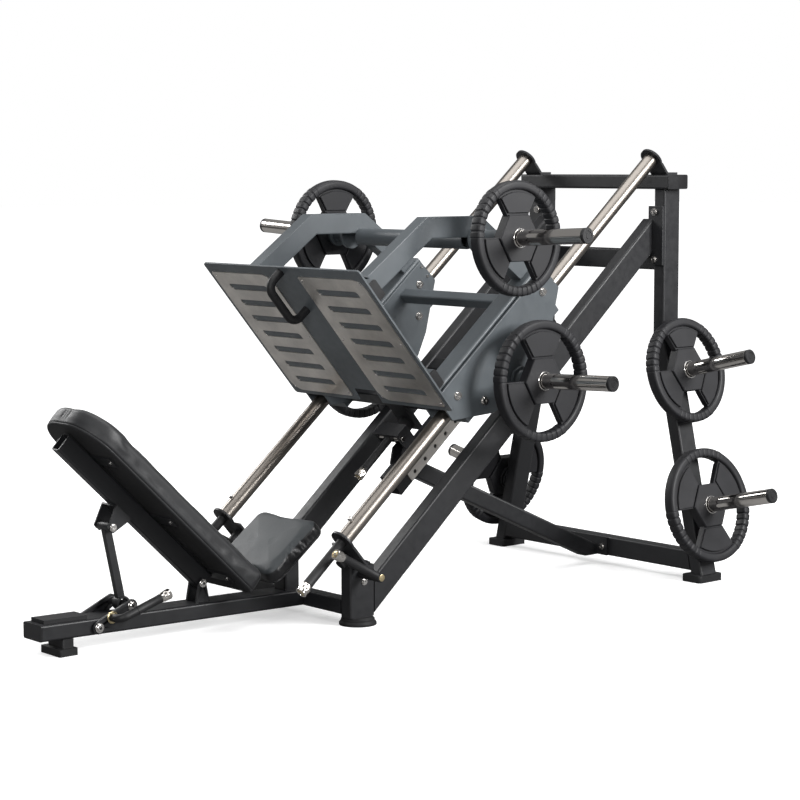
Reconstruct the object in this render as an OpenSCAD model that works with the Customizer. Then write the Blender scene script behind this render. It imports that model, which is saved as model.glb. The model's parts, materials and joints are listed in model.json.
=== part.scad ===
/* [Track] */
// Angle of the guide rods above the floor
track_angle = 40.4; // [35:0.1:45]
// Diameter of the guide rods
rod_d = 50; // [40:1:52]
// Length of the guide rods
rod_length = 1818; // [1780:1:1840]
// Distance from the middle plane to each guide rod
rod_y = 312; // [308:1:314]
// Lower end of the rods, measured back from the bench front
rod_foot_x = 928; // [920:1:935]
// Height of the lower end of the rods
rod_foot_z = 286; // [280:1:292]

/* [Frame] */
// Width of the inclined main beams
beam_w = 50; // [40:1:52]
// Depth of the inclined main beams
beam_d = 90; // [80:1:94]
// Distance from the middle plane to the outside of a main beam
beam_outer_y = 287; // [284:1:287]
// Front face of the top cross tube
upright_x = 2344; // [2340:1:2352]
// Depth of the top cross tube, front to back
upright_d = 100; // [90:1:100]
// Depth of the rear uprights, whose backs are flush with the top cross tube's
leg_d = 80; // [70:1:90]
// Height at which the uprights bend outwards
bend_z = 857; // [840:1:870]
// Sideways splay of the legs below the bend
splay_angle = 12.9; // [10:0.1:14]
// Height of the top cross tube's upper face
top_z = 1412; // [1408:1:1420]
// Half length of the top cross tube
top_half = 366; // [360:1:380]

/* [Bench] */
// Width of the bench beam
bench_w = 100; // [90:1:100]
// Depth of the bench beam
bench_h = 50; // [40:1:50]
// Height of the bench beam's upper face at the front
bench_z = 103; // [101:1:105]
// Thickness of the rubber feet
foot_h = 25; // [20:1:27]

/* [Seat and backrest] */
// Angle of the backrest above the floor
back_angle = 43.4; // [42:0.1:45]
// Width of both cushions
pad_w = 300; // [260:5:340]
// Thickness of the backrest cushion
back_t = 72; // [60:1:80]
// Angle of the seat above the floor
seat_angle = 38; // [36:0.5:40]
// Thickness of the seat cushion
seat_t = 53; // [40:1:55]

/* [Carriage] */
// Width of the foot panel
panel_w = 806; // [760:2:840]
// Height of the foot panel along its face
panel_h = 600; // [560:5:620]
// Position of the foot panel's front face along the track
panel_s = 535; // [530:1:540]
// Spacing of the slots in a tread plate
slot_pitch = 70.7; // [66:0.1:72]

/* [Weights] */
// Diameter of the plate sleeves
sleeve_d = 50; // [46:0.5:50]
// Diameter of the smaller weight plates
small_plate_d = 370; // [340:2:380]
// Diameter of the larger weight plates
large_plate_d = 400; // [380:2:410]
// Thickness of a weight plate
plate_t = 44; // [36:1:44]

/* [Hidden] */
$fn = 48;

wall = 4;
edge_r = 7;
gap = 0.3;
big = 4000;

// Main beams lie parallel to the rods, below them.
beam_top_n = -201;
beam_y = beam_outer_y - beam_w / 2;
beam_rise = 0.5;
post_x = 976;
post_d = 100;
post_top = 190;
post_foot_x = post_x + post_d / 2;
leg_x = upright_x + upright_d - leg_d;
flange_t = 10;
upright_y = beam_outer_y + 20;
upright_w = 50;
leg_drop = bend_z - foot_h;
leg_foot_y = upright_y + leg_drop * tan(splay_angle);
base_z = 70;
base_h = 70;
top_tube_h = 50;
rail_top_n = -190;
rail_d = 80;
rail_w = 60;
rail_start = 411;
rail_end = 925;
brace_half_w = 25;

// The bench beam slopes down a little to the rear.
bench_slope = 1.09;
hinge_x = 592;
hinge_z = 152;
toggle_x = 189;
toggle_z = 72;
crank_x = 307;
crank_z = 124;
strut_top_x = 256;
strut_top_z = 366;

// Cushions, in the backrest's and the seat's own directions.
back_under = 567;
back_low = 425;
back_head = -398;
back_straps = [-235, 57, 346];
back_tube_d = 60;
back_tube_w = 40;
back_tube_top = back_under - 5;
seat_under = -381;
seat_low = 708;
seat_high = 955;

// Release levers, on the outer side of each front post.
lever_x = 1020;
lever_y = 372;
lever_z = 166;
lever_angle = 61.6;
lever_l = 164;
// Length of the bright end on every grip and lever
grip_end_l = 34;
catch_s = 516;
catch_n = -104;

// Carriage, in track directions: s along the rods, n square to them.
panel_low_n = 47;
panel_t = 6;
back_s = panel_s + panel_t;
panel_top_n = panel_low_n + panel_h;
tread_t = 3;
side_t = 8;
inner_side_y = 256;
outer_side_y = 352;
arch_w = 50;
arch_outer_y = 318;
arch_d = 68;
arch_top_z = 1283;
arch_front_x = 1272;
arch_rear_x = 1508;
arch_angle = 36;
tube_top_n = 106;
block_starts = [590, 1016];
block_l = 110;
bush_od = 70;
bolt_spots = [[608, 41], [681, -53], [1029, -45], [1103, 38]];

// Peg data: x, height at the face, distance of the face, tilt, plate seat, length.
peg_top = [1490, 1206.5, arch_outer_y, 2.8, 158, 498];
// The upper left plate is kept closer in than the upper right one.
peg_top_left = [1490, 1206.5, arch_outer_y, 2.8, 82, 498];
peg_mid = [1644, 744, outer_side_y + side_t, 2.4, 74, 423];
store_x = leg_x + 36;
store_upper_z = 722;
store_lower_z = 257;
function leg_face_y(z) = upright_y + upright_w / 2 / cos(splay_angle) + (bend_z - z) * tan(splay_angle);
peg_store_upper = [store_x, store_upper_z, leg_face_y(store_upper_z), splay_angle, 24, 345];
peg_store_lower = [store_x, store_lower_z, leg_face_y(store_lower_z), splay_angle, 24, 345];

// Weight plates: bore and ring radius, width of the rim, hexagonal hub.
bore_r = 25.4;
ring_r = 31;
rim_w = 33;
hub_flat = 74;
hub_side = hub_flat / cos(30);

// The origin is under the middle of the machine, which starts at the bench plug
// and ends at the larger stored plates.
cap_t = 6;
front_x = -(store_x + large_plate_d / 2 - cap_t) / 2;

// ---------- finishes, which also place a piece in the machine's frame ----------
module finish(tone) {
    translate([front_x, 0, 0]) color(tone) children();
}
module black_paint() finish("#26272a") children();
module grey_paint() finish("#6b7379") children();
module bright_steel() finish("#b9b5ae") children();
module black_rubber() finish("#18181a") children();
module leather() finish("#2b2d30") children();

// ---------- general helpers ----------
module both_sides() {
    children();
    mirror([0, 1, 0]) children();
}
module on_track(s = 0, y = 0, n = 0) {
    translate([rod_foot_x, 0, rod_foot_z])
        rotate([0, -track_angle, 0])
            translate([s, y, n]) children();
}
// Backrest directions: local x down the backrest, local z out of its face.
module on_backrest() {
    rotate([0, back_angle, 0]) children();
}
// Upper face of the bench beam, which falls slightly towards the posts.
module on_bench() {
    translate([0, 0, bench_z - bench_h / 2]) rotate([0, bench_slope, 0])
        translate([0, 0, bench_h / 2]) children();
}
// Seat directions: local x up the seat, local z out of its face.
module on_seat() {
    rotate([0, -seat_angle, 0]) children();
}
module round_rect(w, h, r) {
    square([w - 2 * r, h], center = true);
    square([w, h - 2 * r], center = true);
    for (x = [-1, 1], y = [-1, 1])
        translate([x * (w / 2 - r), y * (h / 2 - r)]) circle(r);
}
module tube_z(w, h, l) {
    linear_extrude(l) difference() {
        round_rect(w, h, edge_r);
        round_rect(w - 2 * wall, h - 2 * wall, edge_r - wall);
    }
}
module tube_x(l, wy, hz) {
    rotate([0, 90, 0]) tube_z(hz, wy, l);
}
module tube_y(l, wx, hz) {
    translate([0, l / 2, 0]) rotate([90, 0, 0]) tube_z(wx, hz, l);
}
module cyl_y(r, l) {
    rotate([90, 0, 0]) cylinder(r = r, h = l, center = true);
}
// Flat piece outlined in x and z, between two distances from the middle plane.
module flat_xz(points, y0, y1) {
    translate([0, y1, 0]) rotate([90, 0, 0]) linear_extrude(y1 - y0) polygon(points);
}
function unit(v) = v / norm(v);
function normal(v) = [-v[1], v[0]];
// Mitre direction at point i of a path.
function mitre(p, i) =
    i == 0 ? normal(unit(p[1] - p[0])) :
    i == len(p) - 1 ? normal(unit(p[i] - p[i - 1])) :
    unit(normal(unit(p[i] - p[i - 1])) + normal(unit(p[i + 1] - p[i])));
function mitre_point(p, i, h) =
    p[i] + mitre(p, i) * h / (mitre(p, i) * normal(unit(i == 0 ? p[1] - p[0] : p[i] - p[i - 1])));
// Outline of a band of half width h that follows a path round mitred corners.
function path_outline(p, h) = concat(
    [for (i = [0:len(p) - 1]) mitre_point(p, i, h)],
    [for (i = [len(p) - 1:-1:0]) mitre_point(p, i, -h)]);
// Rectangular tube along a path in x and z, with mitred corners.
module mitred_tube(p, width, depth) {
    reach = 1.6 * depth;
    for (i = [0:len(p) - 2]) {
        a = p[i];
        b = p[i + 1];
        d = b - a;
        m0 = mitre(p, i) * reach;
        m1 = mitre(p, i + 1) * reach;
        intersection() {
            translate([a[0], 0, a[1]]) rotate([0, -atan2(d[1], d[0]), 0])
                translate([-reach, 0, 0]) tube_x(norm(d) + 2 * reach, width, depth);
            flat_xz([a - m0, b - m1, b + m1, a + m0], -width, width);
        }
    }
}
module button_bolt(r = 10) {
    cylinder(r = 1.35 * r, h = 2);
    translate([0, 0, 2]) difference() {
        cylinder(r = r, h = 0.6 * r);
        translate([0, 0, 0.3 * r]) cylinder(r = 0.45 * r, h = r, $fn = 6);
    }
}
// Bolt whose head faces away from the middle plane, on the near side.
module side_bolt(r = 10) {
    rotate([90, 0, 0]) button_bolt(r);
}
module pill(a, b, r) {
    d = b - a;
    translate(a) circle(r);
    translate(b) circle(r);
    translate(a) rotate(atan2(d[1], d[0])) translate([0, -r]) square([norm(d), 2 * r]);
}

// ---------- fixed frame ----------
module bench_beam() black_paint() difference() {
    intersection() {
        on_bench() translate([0, 0, -bench_h / 2]) tube_x(1100, bench_w, bench_h);
        translate([0, -bench_w, 0]) cube([post_x, 2 * bench_w, 2 * bench_z]);
    }
    translate([toggle_x, 0, toggle_z]) cyl_y(8.1, 2 * bench_w);
}
module bench_foot() black_rubber() {
    translate([86, 0, 0]) linear_extrude(22) round_rect(64, 110, 6);
    intersection() {
        translate([92, 0, 22]) linear_extrude(60) round_rect(40, 84, 5);
        on_bench() translate([0, -big / 2, -big - bench_h]) cube(big);
    }
}
module hinge_ears() black_paint() both_sides() difference() {
    intersection() {
        flat_xz([[hinge_x - 32, 60], [hinge_x - 14, hinge_z], [hinge_x, hinge_z + 17],
            [hinge_x + 14, hinge_z], [hinge_x + 32, 60]], 21, 29);
        on_bench() translate([0, -big / 2, 0]) cube(big);
    }
    translate([hinge_x, 0, hinge_z]) cyl_y(6.2, 200);
}
// Backrest hinge pin and the pin that carries the toggle plates.
module pivot_pins() bright_steel() {
    translate([hinge_x, 0, hinge_z]) cyl_y(6, 60);
    translate([hinge_x, 0, hinge_z]) both_sides() translate([0, -29, 0]) side_bolt(9);
    translate([toggle_x, 0, toggle_z]) cyl_y(7.8, 122);
    translate([toggle_x, 0, toggle_z]) both_sides() translate([0, -61, 0]) side_bolt(9);
}
module front_cross_tube() black_paint() {
    translate([post_x + 25, 0, 58]) tube_y(2 * (beam_y - beam_w / 2), 50, 50);
}
module front_posts() black_paint() both_sides() {
    translate([post_x + post_d / 2, beam_y, foot_h])
        tube_z(post_d, beam_w, post_top - foot_h);
}
module front_feet() black_rubber() both_sides() translate([post_foot_x, beam_y, 0]) {
    rotate_extrude() polygon([[0, 0], [60, 0], [60, 7], [54, 14], [54, 19], [48, foot_h], [0, foot_h]]);
}
module main_beams() black_paint() both_sides() intersection() {
    on_track(-250, beam_y, beam_top_n - beam_d / 2) rotate([0, -beam_rise, 0])
        tube_x(2400, beam_w, beam_d);
    translate([post_x + post_d, 0, 0])
        cube([leg_x - flange_t - post_x - post_d, big, big]);
}
module beam_flanges() black_paint() both_sides()
    translate([leg_x - flange_t, upright_y - 42, 1097]) cube([flange_t, 67, 206]);
module rear_uprights() black_paint() both_sides() intersection() {
    translate([leg_x + leg_d / 2, 0, 0]) rotate([0, 0, 90])
        mitred_tube([[upright_y, top_z - top_tube_h], [upright_y, bend_z],
            [leg_foot_y + 20 * tan(splay_angle), foot_h - 20]], leg_d, upright_w);
    translate([0, 0, foot_h]) cube(big);
}
module top_cross_tube() black_paint()
    translate([upright_x + upright_d / 2, 0, top_z - top_tube_h / 2])
        tube_y(2 * top_half - 8, upright_d, top_tube_h);
// Plastic plugs: bench front, both ends of the top tube, both front posts.
module frame_end_caps() black_rubber() {
    translate([-cap_t, 0, bench_z - bench_h / 2]) rotate([0, 90, 0])
        linear_extrude(cap_t) round_rect(bench_h, bench_w, edge_r);
    both_sides() translate([upright_x + upright_d / 2, top_half, top_z - top_tube_h / 2])
        rotate([90, 0, 0]) linear_extrude(4) round_rect(upright_d, top_tube_h, edge_r);
    both_sides() translate([post_x + 73, beam_y, post_top]) {
        cylinder(r = 23, h = cap_t);
        translate([0, 0, cap_t]) intersection() {
            translate([0, 0, -34]) sphere(r = 41);
            cylinder(r = 23, h = 20);
        }
    }
}
module upper_cross_tube() black_paint()
    translate([leg_x + leg_d / 2, 0, 1114]) tube_y(2 * (upright_y - upright_w / 2), 50, 70);
module base_cross_tube() black_paint() difference() {
    translate([leg_x + 25, 0, base_z]) tube_y(2 * leg_foot_y, 50, base_h);
    both_sides() translate([0, upright_y - upright_w / 2 / cos(splay_angle), bend_z])
        rotate([splay_angle, 0, 0]) translate([0, 0, -big / 2]) cube([big, big / 2, big / 2]);
}
module rear_feet() black_rubber() both_sides()
    translate([leg_x + 35, leg_foot_y - 3, 0]) linear_extrude(foot_h) round_rect(120, 86, 12);
// Brace from the stop rail's underside down to the base cross tube.
module diagonal_brace() black_paint() {
    intersection() {
        translate([1500, 0, 456]) rotate([0, 24.1, 0]) translate([-200, 0, -29])
            tube_x(1200, 2 * brace_half_w, 58);
        on_track(0, 0, rail_top_n - rail_d) translate([-big / 2, -big / 2, -big])
            cube([big, big, big]);
        translate([0, -big / 2, base_z - base_h / 2]) cube([leg_x - 8, big, big]);
    }
    translate([leg_x - 8, -75, 36]) cube([8, 150, 66]);
}
module stop_rail() black_paint() intersection() {
    on_track(rail_start, 0, rail_top_n - rail_d / 2)
        tube_x(rail_end - rail_start, rail_w, rail_d);
}
module rail_cross_tube() black_paint()
    on_track(rail_end + 30, 0, rail_top_n - rail_d / 2 - 5)
        tube_y(2 * (beam_y - beam_w / 2), 60, 70);
// Steel strip with locating holes on the side of the stop rail.
module rail_strip() bright_steel() on_track() difference() {
    translate([470, -rail_w / 2 - 5, -262]) cube([420, 5, 34]);
    for (i = [0:6])
        translate([500 + 60 * i, -rail_w / 2, -245]) cyl_y(7, 20);
}
module guide_rods() bright_steel() both_sides() {
    on_track(0, rod_y, 0) rotate([0, 90, 0]) cylinder(r = rod_d / 2, h = rod_length, $fn = 64);
    on_track(62, rod_y, rod_d / 2 - 2) {
        cylinder(r = 5, h = 14);
        translate([0, 0, 8]) cylinder(r = 8, h = 8);
    }
}
// Plate square to the rods with a round head, outlined in y and n.
module rod_plate(low_y, high_y, drop) {
    rotate([90, 0, 90]) linear_extrude(8) {
        translate([rod_y, 0]) circle(41);
        translate([low_y, -drop]) square([high_y - low_y, drop - 22]);
        translate([rod_y - 36, -40]) square([72, 40]);
    }
}
module rod_brackets_top() black_paint() both_sides() {
    intersection() {
        on_track(rod_length) rod_plate(rod_y - 38, rod_y + 38, 120);
        translate([0, 0, top_z]) cube(big);
    }
    difference() {
        translate([upright_x + 2, rod_y - 38, top_z]) cube([62, 76, 8]);
        on_track(rod_length - big, rod_y - 100, -500) cube([big + 8, 200, 1000]);
    }
}
module rod_brackets_bottom() black_paint() both_sides() intersection() {
    on_track(-8) rod_plate(beam_y - beam_w / 2 + 4, rod_y + 38, 140);
    translate([0, 0, post_top]) cube(big);
}
// Local z runs out along the peg from the face that it is welded to.
module at_peg(peg) {
    translate([peg[0], -peg[2], peg[1]]) rotate([90 - peg[3], 0, 0]) children();
}
// A shallow groove marks the outer face of the plate that is kept on the sleeve.
module peg(peg, flange_r, flange_t, root) {
    outer_face = peg[4] + plate_t;
    cylinder(r = flange_r, h = flange_t);
    translate([0, 0, flange_t / 2]) cylinder(r = root, h = peg[4] - 12 - flange_t / 2);
    translate([0, 0, peg[4] - 12]) cylinder(r = 42, h = 12 - gap);
    cylinder(r = sleeve_d / 2, h = outer_face);
    cylinder(r = sleeve_d / 2 - 1, h = peg[5] - 3);
    translate([0, 0, outer_face + 2]) cylinder(r = sleeve_d / 2, h = peg[5] - 5 - outer_face);
    translate([0, 0, peg[5] - 3]) cylinder(r1 = sleeve_d / 2, r2 = sleeve_d / 2 - 3, h = 3);
}
module storage_pegs() bright_steel() both_sides() {
    at_peg(peg_store_upper) peg(peg_store_upper, 40, 6, 30);
    at_peg(peg_store_lower) peg(peg_store_lower, 40, 6, 30);
}
module seat_support() black_paint() {
    intersection() {
        translate([915 + 30, 0, 60]) tube_z(60, 60, 300);
        on_seat() translate([0, -big / 2, -big + seat_under - 6]) cube([big, big, big]);
        on_bench() translate([0, -big / 2, 0]) cube(big);
    }
    on_seat() translate([seat_low + 40, -100, seat_under - 6])
        cube([seat_high - seat_low - 70, 200, 6]);
}
module seat_pad() leather() on_seat()
    translate([(seat_low + seat_high) / 2, 0, seat_under])
        linear_extrude(seat_t) round_rect(seat_high - seat_low, pad_w, 35);
// Heads of the screws that hold the flanges, brackets and end plates.
module frame_bolts() bright_steel() {
    both_sides() for (z = [1117, 1283])
        translate([leg_x - flange_t, upright_y - 15, z]) rotate([0, -90, 0]) button_bolt(10);
    both_sides() translate([post_x + 56, -beam_outer_y, 138]) side_bolt(8);
    both_sides() translate([leg_x - 8, 50, 66]) rotate([0, -90, 0]) button_bolt(9);
    both_sides() on_track(-8, beam_y - 8, -88) rotate([0, -90, 0]) button_bolt(9);
}
// Grips that carry on from the lower ends of the guide rods.
module grab_handles() black_rubber() both_sides() on_track(-8, rod_y, 0) rotate([0, -90, 0]) {
    cylinder(r = 16, h = 182);
    translate([0, 0, 182]) cylinder(r = 19, h = grip_end_l);
    translate([0, 0, 182 + grip_end_l]) cylinder(r1 = 19, r2 = 16, h = 3);
}
// Pad under the toggle plates, carriage bumper and the two post buffers.
module rubber_stops() black_rubber() {
    on_bench() translate([12, -36, 0]) cube([150, 72, 12]);
    on_track(560, 0, -118) rotate([0, 90, 0]) cylinder(r = 26, h = 40 - gap);
    both_sides() on_track(-8, rod_y - 28, -70) rotate([0, -90, 0]) cylinder(r = 17, h = 40);
}
// Open-fronted housing of the carriage stop, on its two bracket plates.
module stop_housing() black_paint() on_track() {
    difference() {
        translate([505, -60, -155]) cube([55, 120, 75]);
        translate([500, -52, -160]) cube([48, 104, 74]);
        translate([catch_s, 0, catch_n]) cyl_y(8.2, 200);
    }
    both_sides() translate([0, 22, 0]) flat_xz([[470, rail_top_n], [515, -155], [560, -155],
        [560, rail_top_n]], 0, 8);
    translate([548, -52, rail_top_n]) cube([12, 104, 36]);
}

// ---------- carriage ----------
module foot_panel() grey_paint() on_track(panel_s, 0, panel_low_n) rotate([90, 0, 90])
    linear_extrude(panel_t) difference() {
        translate([0, panel_h / 2]) round_rect(panel_w, panel_h, 12);
        polygon([[-58, -1], [-66, 56], [52, 56], [60, -1]]);
    }
// Corner radii run: top right, bottom right, bottom left, top left.
module leaf(w, h, wide_r, small_r) {
    difference() {
        square([w, h], center = true);
        for (k = [0:3]) {
            r = k % 2 == 0 ? wide_r : small_r;
            sx = k < 2 ? 1 : -1;
            sy = k == 0 || k == 3 ? 1 : -1;
            translate([sx * (w / 2 - r), sy * (h / 2 - r)]) scale([sx, sy]) difference() {
                square(r + 1);
                circle(r);
            }
        }
    }
}
module tread_plates() bright_steel() on_track(panel_s - tread_t, 0, panel_top_n)
    rotate([90, 0, 90]) mirror([1, 0, 0]) for (side = [-1, 1])
        translate([side * 230, -308]) linear_extrude(tread_t) difference() {
            leaf(310, 544, 46, 8);
            for (i = [0:6])
                translate([0, 209 - slot_pitch * i]) leaf(200, 26, 12, 4);
        }
// Loop handle in the middle of the panel's top edge.
module panel_handle() black_rubber() on_track(panel_s, 0, panel_top_n) {
    reach = 70;
    r = 34;
    high = -21;
    low = -184;
    for (n = [high, low])
        translate([0, 0, n]) rotate([0, -90, 0]) cylinder(r = 14, h = reach - r);
    translate([-reach, 0, low + r]) cylinder(r = 14, h = high - low - 2 * r);
    translate([-reach + r, 0, high - r]) rotate([90, 0, 0])
        rotate([0, 0, 90]) rotate_extrude(angle = 90) translate([r, 0]) circle(14);
    translate([-reach + r, 0, low + r]) rotate([90, 0, 0])
        rotate([0, 0, 180]) rotate_extrude(angle = 90) translate([r, 0]) circle(14);
}
module panel_tubes() grey_paint() {
    on_track(back_s + 30, 0, 522) tube_y(692, 60, 68);
    on_track(back_s + 29, 0, 138.3) tube_y(692, 58, 64);
}
module panel_tube_caps() black_rubber() both_sides() {
    on_track(back_s + 30, 352, 522) rotate([90, 0, 0]) linear_extrude(6) round_rect(60, 68, 8);
    on_track(back_s + 29, 352, 138.3) rotate([90, 0, 0]) linear_extrude(6) round_rect(58, 64, 8);
}
// Two plates a side, with the bearings between them.
module side_plates() grey_paint() both_sides() for (y = [inner_side_y, outer_side_y])
    on_track() flat_xz([[back_s, 96], [back_s, -5], [684, -112], [790, -148], [870, -160],
        [940, -148], [1017, -112], [1169, -1], [1160, 96]], y, y + side_t);
module bearing_tubes() grey_paint() both_sides() on_track(back_s, 304, tube_top_n - 25)
    tube_x(1165 - back_s, 80, 50);
module carriage_arches() grey_paint() both_sides() translate([0, arch_outer_y - arch_w / 2, 0]) {
    mid_z = arch_top_z - arch_d / 2;
    run = 380;
    path = [
        [arch_front_x + 11 - run * cos(arch_angle), mid_z - run * sin(arch_angle)],
        [arch_front_x + 11, mid_z],
        [arch_rear_x - 11, mid_z],
        [arch_rear_x - 11 + run * cos(arch_angle), mid_z - run * sin(arch_angle)]
    ];
    intersection() {
        difference() {
            flat_xz(path_outline(path, arch_d / 2), -arch_w / 2, arch_w / 2);
            flat_xz(path_outline(path, arch_d / 2 - wall), -arch_w / 2 + wall, arch_w / 2 - wall);
        }
        on_track(back_s + 60, 0, tube_top_n) translate([0, -big / 2, 0]) cube([big, big, big]);
    }
}
// Round tube between the arches and square tube between the inner side plates.
module carriage_cross_tubes() grey_paint() {
    translate([peg_top[0], 0, 1203]) difference() {
        cyl_y(29, 2 * (arch_outer_y - arch_w));
        cyl_y(24, 2 * arch_outer_y);
    }
    on_track(1031, 0, 50) tube_y(2 * inner_side_y, 40, 40);
}
// Cross bar with a lug that rests on the carriage bumper.
module rest_crossbar() black_paint() on_track() {
    translate([640, 0, -37]) tube_y(2 * inner_side_y, 50, 50);
    translate([600, -40, -146]) cube([20, 80, 134]);
}
module bearing_blocks() grey_paint() both_sides() for (s = block_starts)
    on_track(s, inner_side_y + side_t, 0) difference() {
        translate([0, 0, -66]) cube([block_l, outer_side_y - inner_side_y - side_t, 66 + 55]);
        translate([-1, rod_y - inner_side_y - side_t, 0]) rotate([0, 90, 0])
            cylinder(r = bush_od / 2, h = block_l + 2);
    }
module bearing_bushes() bright_steel() both_sides() for (s = block_starts)
    on_track(s, rod_y, 0) rotate([0, 90, 0]) difference() {
        cylinder(r = bush_od / 2, h = block_l);
        translate([0, 0, -1]) cylinder(r = rod_d / 2 + gap, h = block_l + 2, $fn = 64);
    }
module carriage_peg(peg) difference() {
    union() {
        at_peg(peg) translate([0, 0, -6]) cylinder(r = 46, h = 18);
        at_peg(peg) peg(peg, 46, 12, 30);
    }
    translate([0, -peg[2], 0]) cube(big);
}
module carriage_pegs() bright_steel() {
    carriage_peg(peg_top);
    mirror([0, 1, 0]) carriage_peg(peg_top_left);
    both_sides() carriage_peg(peg_mid);
}
module carriage_bolts() bright_steel() {
    both_sides() for (spot = bolt_spots) on_track(spot[0], 0, spot[1]) {
        translate([0, -outer_side_y - side_t, 0]) side_bolt(11);
        translate([0, -inner_side_y, 0]) mirror([0, 1, 0]) side_bolt(11);
    }
    both_sides() for (n = [35, 79]) on_track(1150, inner_side_y, n) rotate([90, 0, 0])
        cylinder(r = 5, h = 3);
}

// ---------- backrest and its adjuster ----------
module backrest_pad() leather() on_backrest() translate([0, 0, back_under]) linear_extrude(back_t) {
    head_r = 120;
    foot_r = 28;
    half = pad_w / 2;
    translate([back_head, -half + head_r]) square([back_low - back_head, pad_w - 2 * head_r]);
    translate([back_head + head_r, -half]) square([back_low - back_head - head_r - foot_r, pad_w]);
    for (side = [-1, 1]) {
        translate([back_head + head_r, side * (half - head_r)]) circle(head_r, $fn = 64);
        translate([back_low - foot_r, side * (half - foot_r)]) circle(foot_r);
        translate([back_low - foot_r, side < 0 ? -half + foot_r : 0]) square([foot_r, half - foot_r]);
    }
}
module backrest_frame() black_paint() difference() {
    union() {
        on_backrest() translate([-361, 0, back_tube_top - back_tube_d / 2])
            tube_x(706, back_tube_w, back_tube_d);
        on_backrest() for (x = back_straps)
            translate([x - 20, -110, back_tube_top]) cube([40, 220, back_under - back_tube_top]);
        on_backrest() translate([-100, -40, back_tube_top - back_tube_d - 6]) cube([70, 80, 6]);
        both_sides() on_backrest() flat_xz([[-100, 497], [-78, 430], [-52, 430], [-30, 497]], 34, 40);
    }
    translate([hinge_x, 0, hinge_z]) cyl_y(6.3, 100);
    translate([strut_top_x, 0, strut_top_z]) cyl_y(6, 200);
}
module backrest_fasteners() bright_steel() {
    translate([strut_top_x, 0, strut_top_z]) cyl_y(5.8, 82);
    translate([strut_top_x, 0, strut_top_z]) both_sides() translate([0, -41, 0]) side_bolt(9);
    both_sides() on_backrest() for (x = back_straps)
        translate([x, 95, back_tube_top]) rotate([180, 0, 0]) cylinder(r = 6, h = 4);
}
// The strut's lower eye is wide, so that it clears the crank shaft over the whole travel.
module recline_strut() black_paint() {
    dx = strut_top_x - crank_x;
    dz = strut_top_z - crank_z;
    l = norm([dx, dz]);
    translate([crank_x, 0, crank_z]) rotate([0, -atan2(dz, dx), 0]) difference() {
        union() {
            translate([20, -10, -12]) cube([l - 28, 20, 24]);
            cyl_y(23, 30);
            translate([l, 0, 0]) cyl_y(13, 66);
        }
        cyl_y(16.5, 100);
        translate([l, 0, 0]) cyl_y(6.2, 100);
    }
}
module toggle_link() black_paint() {
    both_sides() translate([0, 60, 0]) rotate([90, 0, 0]) linear_extrude(8)
        difference() {
            union() {
                pill([toggle_x, toggle_z], [crank_x, crank_z], 20);
                polygon([[toggle_x + 5, toggle_z - 18], [toggle_x + 60, toggle_z - 12],
                    [crank_x + 8, crank_z - 18], [crank_x - 40, crank_z]]);
            }
            translate([toggle_x, toggle_z]) circle(8.1);
        }
    translate([crank_x, 0, crank_z]) cyl_y(10, 104);
    translate([crank_x, 0, crank_z]) both_sides() translate([0, -60, 0]) side_bolt(9);
}
module toggle_handle() black_rubber() {
    grip_x = 236;
    grip_z = 98;
    out_y = -105;
    translate([grip_x, -60, grip_z]) rotate([90, 0, 0]) cylinder(r = 14, h = 14 - out_y - 60);
    translate([grip_x, out_y, grip_z]) rotate([0, 90 - 17.6, 0]) {
        cylinder(r = 13, h = 152);
        translate([0, 0, 152]) cylinder(r = 17, h = grip_end_l);
    }
}

// ---------- levers ----------
module release_lever() translate([lever_x, 0, lever_z]) {
    translate([0, -beam_outer_y - gap, 0]) rotate([90, 0, 0])
        cylinder(r = 15, h = lever_y + 15 - beam_outer_y - gap);
    translate([0, -lever_y, 0]) rotate([0, -lever_angle, 0]) {
        cylinder(r = 14, h = lever_l);
        translate([0, 0, lever_l]) cylinder(r = 17.5, h = grip_end_l);
    }
}
module release_lever_right() black_rubber() release_lever();
module release_lever_left() black_rubber() mirror([0, 1, 0]) release_lever();
module catch_lever() black_rubber() on_track(catch_s, 0, catch_n) {
    cyl_y(8, 134);
    cyl_y(14, 40);
    rotate([0, -90, 0]) {
        cylinder(r = 13, h = 152);
        translate([0, 0, 152]) cylinder(r = 17, h = grip_end_l);
    }
}

// ---------- weight plates ----------
// Rubber plate with a hexagonal hub, three hand windows and a steel ring in its bore.
module weight_plate(d) {
    r = d / 2;
    inner_r = r - rim_w;
    step = plate_t / 5;
    ledge = 3;
    difference() {
        rotate_extrude($fn = 96) polygon([
            [ring_r, step], [inner_r, step], [inner_r + 3, 1.5], [r - 6, 0], [r, 6],
            [r, plate_t - 6], [r - 6, plate_t], [inner_r + 3, plate_t - 1.5],
            [inner_r, plate_t - step], [ring_r, plate_t - step]]);
        for (k = [0:2]) rotate(120 * k + 90) translate([0, 0, -1]) linear_extrude(plate_t + 2)
            intersection() {
                circle(inner_r - 1.5);
                polygon([[-hub_side / 2 + ledge, hub_flat + ledge], [hub_side / 2 - ledge, hub_flat + ledge],
                    [tan(28) * r, r], [-tan(28) * r, r]]);
            }
    }
    difference() {
        translate([0, 0, 3]) linear_extrude(plate_t - 6) circle(r = hub_side, $fn = 6);
        translate([0, 0, -1]) cylinder(r = ring_r, h = plate_t + 2);
    }
    difference() {
        cylinder(r = ring_r, h = plate_t);
        translate([0, 0, -1]) cylinder(r = bore_r, h = plate_t + 2);
    }
}
module placed_weight(peg, d, turn) {
    at_peg(peg) translate([0, 0, peg[4]]) rotate(turn) weight_plate(d);
}
module weight_top_right() black_rubber() placed_weight(peg_top, small_plate_d, 90);
module weight_top_left() black_rubber() mirror([0, 1, 0]) placed_weight(peg_top_left, small_plate_d, 90);
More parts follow.
